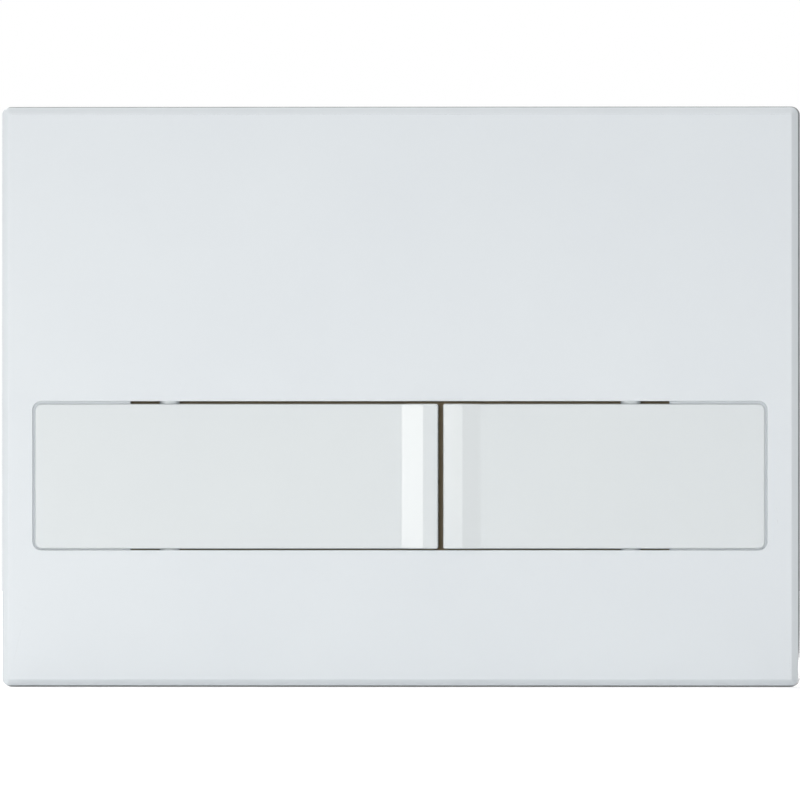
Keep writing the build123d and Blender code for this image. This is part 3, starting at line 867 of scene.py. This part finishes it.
# The camera and gloss see the room white. Its light on matt faces differs by side
world = bpy.data.worlds.new("white_room")
world.use_nodes = True
bpy.context.scene.world = world
room = world.node_tree
room.nodes.clear()
seen, _ = rays_of_sight(room)
way = add(room, "ShaderNodeSeparateXYZ", [add(room, "ShaderNodeTexCoord").outputs["Generated"]]).outputs
depth_level = add(room, "ShaderNodeMapRange", [way["Y"], -room_reach, room_reach, front_room, rear_room])
side = add(room, "ShaderNodeMapRange", [way["X"], -room_reach, room_reach, left_share, right_share])
far_right = add(room, "ShaderNodeMapRange", [way["X"], far_right_from, far_right_to, 1.0, far_right_share])
sides = add(room, "ShaderNodeMath", [side, far_right], operation="MULTIPLY")
level = add(room, "ShaderNodeMath", [depth_level, sides], operation="MULTIPLY")
ambient = add(room, "ShaderNodeBackground", {"Color": linear("#fbfdff"), "Strength": level})
white = add(room, "ShaderNodeBackground", {"Color": linear("#ffffff"), "Strength": 1.0})
either = add(room, "ShaderNodeMixShader", [seen, ambient, white])
add(room, "ShaderNodeOutputWorld", [either])


def soft_light(name, place, aim, size, watts, colour, mirrored=False, spreads=True):
    """A rectangular softbox that the camera doesn't see.

    A mirrored one shows in the gloss of the plate. One that doesn't spread shows nowhere else.
    """
    lamp = bpy.data.lights.new(name, "AREA")
    lamp.shape = "RECTANGLE"
    lamp.size, lamp.size_y = size
    lamp.energy = watts
    lamp.color = linear(colour)[:3]
    holder = bpy.data.objects.new(name, lamp)
    holder.location = place
    holder.rotation_euler = (Vector(aim) - Vector(place)).to_track_quat("-Z", "Y").to_euler()
    holder.visible_camera = False
    holder.visible_glossy = mirrored
    holder.visible_diffuse = spreads
    bpy.context.scene.collection.objects.link(holder)


# Three that the slopes of the buttons' lips mirror
soft_light(
    "left_softbox",
    place=(-key_distance * sin(key_angle), -key_distance * cos(key_angle), key_z),
    aim=(0, 0, key_z),
    size=(0.16, 0.16),
    watts=0.322,
    colour="#fffaf4",
    mirrored=True,
)
soft_light(
    "right_softbox",
    place=(0.9, -1.07, 0.05),
    aim=(0, 0, 0),
    size=(0.5, 0.7),
    watts=1.3,
    colour="#fffaf4",
    mirrored=True,
    spreads=False,
)
soft_light(
    "strip_softbox",
    place=(-0.41, -2.17, 0.009),
    aim=(0, 0, 0.009),
    size=(0.15, 0.1),
    watts=0.28,
    colour="#fff8ee",
    mirrored=True,
)

# Even light on the face, then a little more on its lower part and on its top edge
soft_light(
    "front_softbox", place=(0, -3, 0), aim=(0, 0, 0), size=(0.3, 0.3), watts=22.6, colour="#fdfdff"
)
soft_light(
    "low_softbox",
    place=(0, -0.28, -0.045),
    aim=(0, 0, -0.035),
    size=(0.5, 0.05),
    watts=0.112,
    colour="#fffdf8",
)
soft_light(
    "top_softbox",
    place=(0, -0.05, 0.75),
    aim=(0, -0.012, 0.08),
    size=(0.5, 0.1),
    watts=0.9,
    colour="#fffdf8",
)

# The rear side has a light of its own
soft_light(
    "rear_softbox",
    place=(-0.7, 1.5, 1.1),
    aim=(0, 0, 0),
    size=(0.5, 0.5),
    watts=18.0,
    colour="#fffdfa",
    mirrored=True,
)


def grey_card():
    """Grey card with an even level of its own, so that no lamp changes it."""
    finish, tree = empty_finish("grey_card")
    grey = add(tree, "ShaderNodeEmission", {"Color": linear("#ffffff"), "Strength": card_level})
    add(tree, "ShaderNodeOutputMaterial", [grey])
    return finish


# Only gloss sees the card: the drafted sides mirror it as a fine dark outline
card_low = cad_box[0].z
card_edges = ((-1, card_low), (1, card_low), (1, card_top), (-1, card_top))
card = stage_panel("dark_card", [(x * card_half_width, card_y, z) for x, z in card_edges], grey_card())
card.visible_camera = False
card.visible_diffuse = False
card.visible_shadow = False
card.visible_transmission = False

camera = bpy.data.cameras.new("camera")
camera.sensor_width = sensor
camera.lens = sensor * camera_distance / (photo_side * photo_scale)
camera.clip_end = camera_far_clip
viewer = bpy.data.objects.new("camera", camera)
middle_px = photo_side / 2
aim = Vector(
    (
        (middle_px - face_centre_px[0]) * photo_scale,
        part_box("cover_plate")[0].y,
        (face_centre_px[1] - middle_px) * photo_scale,
    )
)
sight = Vector((-sin(camera_yaw), cos(camera_yaw), sin(camera_drop)))
viewer.location = aim - camera_distance * sight
viewer.rotation_euler = sight.to_track_quat("-Z", "Y").to_euler()
bpy.context.scene.collection.objects.link(viewer)
bpy.context.scene.camera = viewer
bpy.context.scene.view_settings.view_transform = "Standard"
